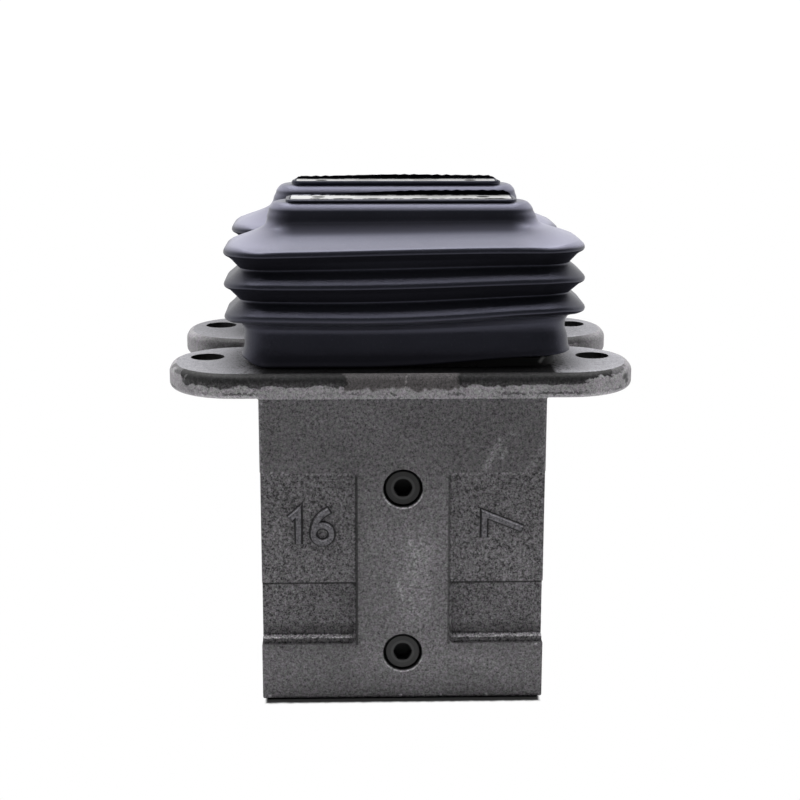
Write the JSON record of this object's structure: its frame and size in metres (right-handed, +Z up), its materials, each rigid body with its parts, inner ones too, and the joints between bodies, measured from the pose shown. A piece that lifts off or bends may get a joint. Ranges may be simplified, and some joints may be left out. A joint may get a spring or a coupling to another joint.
{
  "type": "foot pilot valve",
  "caption": "Hydraulic foot pilot valve: twin cast valve slices bolted face to face, each with a rocking pedal plate on a rubber bellows boot and a flange with drilled ears.",
  "frame": {"origin": "on the base, midway between the two slices and midway between the ear holes", "axes": "+X to the right along a slice's width, +Y from the front slice to the rear slice, +Z up"},
  "size_m": [0.1694, 0.132, 0.1811],
  "materials": {
    "cast_iron": "ground and phosphated",
    "rubber": "moulded, semi-matt",
    "zinc_plate": "bright zinc",
    "steel": "machined",
    "black_screw": "black oxide",
    "spring_steel": "oiled",
    "bronze": "sintered",
    "seal_rubber": "matt"
  },
  "bodies": {
    "valve_block": {"tie_screws": "black_screw", "gallery_seals": "seal_rubber", "front_valve_body": "cast_iron", "front_cover": "steel", "front_cover_screws": "black_screw", "front_boot": "rubber", "front_pivot_pin": "steel", "front_pin_circlips": "spring_steel", "front_guide_plugs": "steel", "front_plug_seals": "seal_rubber", "front_wiper_seals": "seal_rubber", "front_left_return_spring": "spring_steel", "front_right_return_spring": "spring_steel", "rear_valve_body": "cast_iron", "rear_cover": "steel", "rear_cover_screws": "black_screw", "rear_boot": "rubber", "rear_pivot_pin": "steel", "rear_pin_circlips": "spring_steel", "rear_guide_plugs": "steel", "rear_plug_seals": "seal_rubber", "rear_wiper_seals": "seal_rubber", "rear_left_return_spring": "spring_steel", "rear_right_return_spring": "spring_steel"},
    "front_pedal_rocker": {"front_rocker": "steel", "front_pin_bushes": "bronze", "front_adjusting_screws": "steel", "front_pedal_plate": "zinc_plate", "front_plate_screws": "steel"},
    "front_left_rod": {"front_left_push_rod": "steel"},
    "front_left_metering": {"front_left_spool": "steel", "front_left_metering_spring": "spring_steel"},
    "front_right_rod": {"front_right_push_rod": "steel"},
    "front_right_metering": {"front_right_spool": "steel", "front_right_metering_spring": "spring_steel"},
    "rear_pedal_rocker": {"rear_rocker": "steel", "rear_pin_bushes": "bronze", "rear_adjusting_screws": "steel", "rear_pedal_plate": "zinc_plate", "rear_plate_screws": "steel"},
    "rear_left_rod": {"rear_left_push_rod": "steel"},
    "rear_left_metering": {"rear_left_spool": "steel", "rear_left_metering_spring": "spring_steel"},
    "rear_right_rod": {"rear_right_push_rod": "steel"},
    "rear_right_metering": {"rear_right_spool": "steel", "rear_right_metering_spring": "spring_steel"}
  },
  "joints": [
    {"name": "front_pedal", "type": "hinge", "parent": "valve_block", "child": "front_pedal_rocker", "pos_m": [0, -0.033, 0.145], "axis": [0, 1, 0], "range_deg": [-12, 12], "stiffness_Nm_per_rad": 10, "deforming": ["front_boot"]},
    {"name": "front_left_push", "type": "slide", "parent": "valve_block", "child": "front_left_rod", "axis": [0, 0, 1], "range_m": [-0.0053, 0.0053], "deforming": ["front_left_return_spring", "front_left_metering_spring"]},
    {"name": "front_left_metering_travel", "type": "slide", "parent": "valve_block", "child": "front_left_metering", "axis": [0, 0, 1], "range_m": [-0.003, 0], "stiffness_N_per_m": 1500, "springref_m": 0.001},
    {"name": "front_right_push", "type": "slide", "parent": "valve_block", "child": "front_right_rod", "axis": [0, 0, 1], "range_m": [-0.0053, 0.0053], "deforming": ["front_right_return_spring", "front_right_metering_spring"]},
    {"name": "front_right_metering_travel", "type": "slide", "parent": "valve_block", "child": "front_right_metering", "axis": [0, 0, 1], "range_m": [-0.003, 0], "stiffness_N_per_m": 1500, "springref_m": 0.001},
    {"name": "rear_pedal", "type": "hinge", "parent": "valve_block", "child": "rear_pedal_rocker", "pos_m": [0, 0.033, 0.145], "axis": [0, 1, 0], "range_deg": [-12, 12], "stiffness_Nm_per_rad": 10, "deforming": ["rear_boot"]},
    {"name": "rear_left_push", "type": "slide", "parent": "valve_block", "child": "rear_left_rod", "axis": [0, 0, 1], "range_m": [-0.0053, 0.0053], "deforming": ["rear_left_return_spring", "rear_left_metering_spring"]},
    {"name": "rear_left_metering_travel", "type": "slide", "parent": "valve_block", "child": "rear_left_metering", "axis": [0, 0, 1], "range_m": [-0.003, 0], "stiffness_N_per_m": 1500, "springref_m": 0.001},
    {"name": "rear_right_push", "type": "slide", "parent": "valve_block", "child": "rear_right_rod", "axis": [0, 0, 1], "range_m": [-0.0053, 0.0053], "deforming": ["rear_right_return_spring", "rear_right_metering_spring"]},
    {"name": "rear_right_metering_travel", "type": "slide", "parent": "valve_block", "child": "rear_right_metering", "axis": [0, 0, 1], "range_m": [-0.003, 0], "stiffness_N_per_m": 1500, "springref_m": 0.001}
  ],
  "couplings": [
    {"joint": "front_left_push", "follows": "front_pedal", "m_per_rad": 0.02482},
    {"joint": "front_right_push", "follows": "front_pedal", "m_per_rad": -0.02482},
    {"joint": "rear_left_push", "follows": "rear_pedal", "m_per_rad": 0.02482},
    {"joint": "rear_right_push", "follows": "rear_pedal", "m_per_rad": -0.02482}
  ]
}
